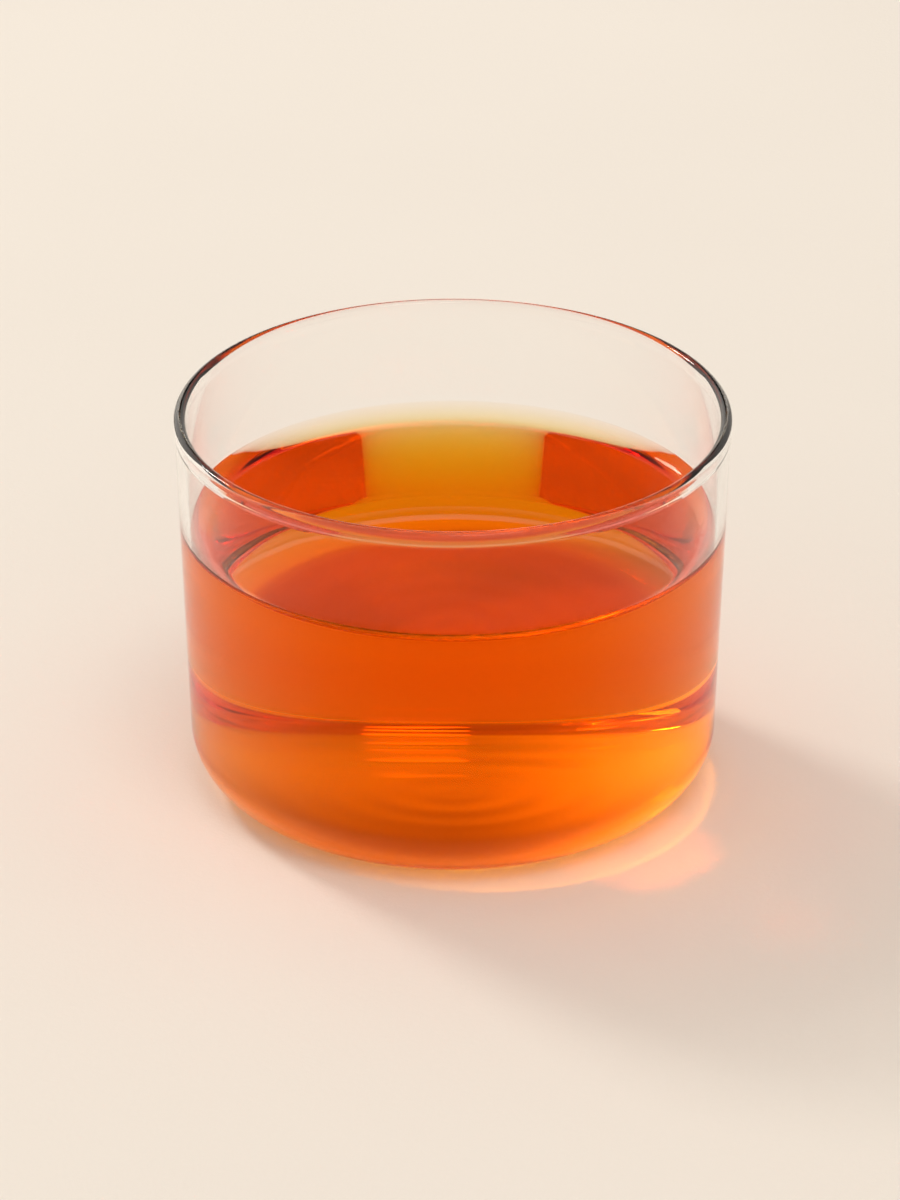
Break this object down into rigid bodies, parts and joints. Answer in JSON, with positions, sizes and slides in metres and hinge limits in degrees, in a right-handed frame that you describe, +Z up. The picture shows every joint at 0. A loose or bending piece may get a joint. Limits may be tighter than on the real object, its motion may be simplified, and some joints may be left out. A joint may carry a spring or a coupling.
{
  "type": "glass cup of tea",
  "caption": "Low round clear glass cup with rounded foot, thin slightly flared wall and fire-polished lip, filled two thirds with clear amber tea.",
  "frame": {"origin": "centre of the foot, on the surface that the cup stands on", "axes": "+Z up along the axis that the cup is turned round; +X and +Y are alike"},
  "size_m": [0.0851, 0.085, 0.0608],
  "materials": {
    "clear_glass": "clear colourless heat-resistant glass, smooth, fire-polished lip",
    "amber_tea": "clear liquid tea, amber to deep orange with depth, still glossy surface"
  },
  "bodies": {
    "root": {"glass_cup": "clear_glass", "tea": "amber_tea"}
  },
  "joints": []
}
